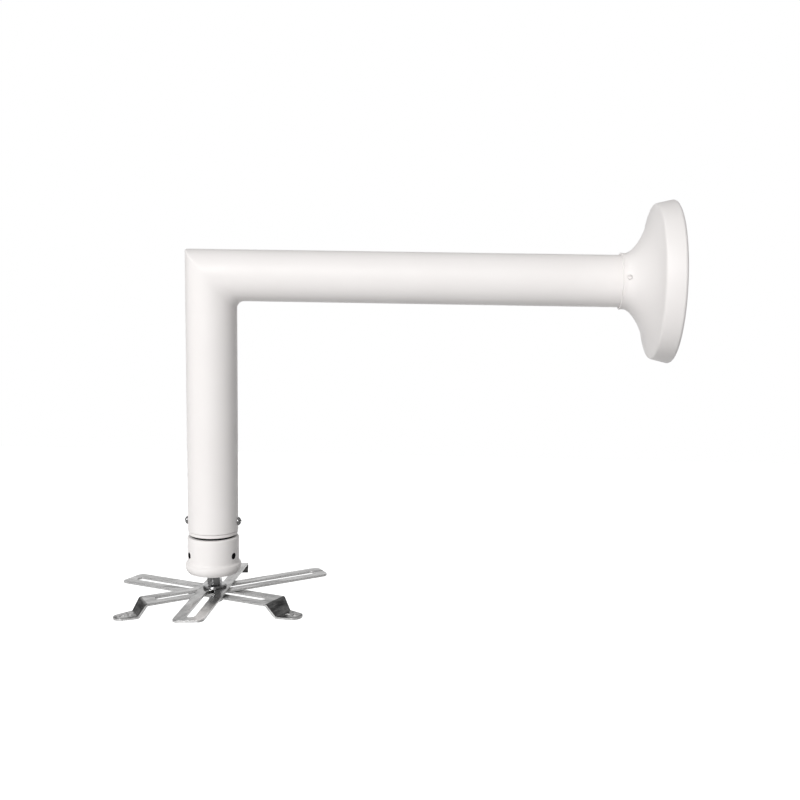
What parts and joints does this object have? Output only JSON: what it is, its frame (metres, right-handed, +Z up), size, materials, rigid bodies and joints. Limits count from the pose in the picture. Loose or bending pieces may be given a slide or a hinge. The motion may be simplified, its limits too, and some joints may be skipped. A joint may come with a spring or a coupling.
{
  "type": "projector wall mount",
  "caption": "L-shaped tube arm with a bell wall cover and a ball head that carries slotted, sliding projector straps.",
  "frame": {"origin": "centre of the wall plate's back face, where the mount meets the wall", "axes": "+X into the wall, with the arm reaching along -X; +Z up, with the drop tube hanging along -Z"},
  "size_m": [0.5501, 0.221, 0.4117],
  "materials": {
    "white_powder_coat": "smooth white powder coat, semi-gloss",
    "bright_chrome": "bright chrome plate",
    "bright_steel": "turned bright steel",
    "black_steel": "black oxide"
  },
  "bodies": {
    "arm": {"arm_tube": "white_powder_coat", "wall_plate": "white_powder_coat", "tube_insert": "white_powder_coat", "side_screw_right": "bright_chrome", "side_screw_left": "bright_chrome"},
    "cover": {"wall_cover": "white_powder_coat", "cover_screw": "black_steel"},
    "socket": {"cup": "white_powder_coat", "cup_screw_1": "black_steel", "cup_screw_2": "black_steel", "cup_screw_3": "black_steel"},
    "stud": {"ball_stud": "bright_steel", "upper_nut": "bright_chrome", "lower_nut": "bright_chrome"},
    "upper_swivel_ring": {"upper_washer": "bright_chrome"},
    "middle_swivel_ring": {"lock_washer": "bright_chrome"},
    "lower_swivel_ring": {"lower_washer": "bright_chrome"},
    "upper_strap": {"strap_upper": "bright_chrome"},
    "middle_strap": {"strap_middle": "bright_chrome"},
    "lower_strap": {"strap_lower": "bright_chrome"}
  },
  "joints": [
    {"name": "cover_slide", "type": "slide", "parent": "arm", "child": "cover", "axis": [-1, 0, 0], "range_m": [0, 0.36]},
    {"name": "cup_turn", "type": "hinge", "parent": "arm", "child": "socket", "pos_m": [-0.4445, 0, -0.286], "axis": [0, 0, 1], "continuous": true},
    {"name": "ball_tilt", "type": "hinge", "parent": "socket", "child": "stud", "pos_m": [-0.4445, 0, -0.286], "axis": [0, 1, 0], "range_deg": [-12.2, 17.8]},
    {"name": "upper_swivel", "type": "hinge", "parent": "stud", "child": "upper_swivel_ring", "pos_m": [-0.44317, 0, -0.31317], "axis": [-0.0489, 0, 0.9988], "range_deg": [-12, 12]},
    {"name": "middle_swivel", "type": "hinge", "parent": "stud", "child": "middle_swivel_ring", "pos_m": [-0.44306, 0, -0.31546], "axis": [-0.0489, 0, 0.9988], "range_deg": [-12, 12]},
    {"name": "lower_swivel", "type": "hinge", "parent": "stud", "child": "lower_swivel_ring", "pos_m": [-0.44295, 0, -0.31776], "axis": [-0.0489, 0, 0.9988], "range_deg": [-12, 12]},
    {"name": "upper_slide", "type": "slide", "parent": "upper_swivel_ring", "child": "upper_strap", "axis": [0.0383, 0.9993, 0.0019], "range_m": [-0.035, 0.089]},
    {"name": "middle_slide", "type": "slide", "parent": "middle_swivel_ring", "child": "middle_strap", "axis": [-0.8778, -0.4772, -0.0429], "range_m": [-0.013, 0.1]},
    {"name": "lower_slide", "type": "slide", "parent": "lower_swivel_ring", "child": "lower_strap", "axis": [0.8819, -0.4695, 0.0431], "range_m": [-0.05, 0.098]}
  ]
}
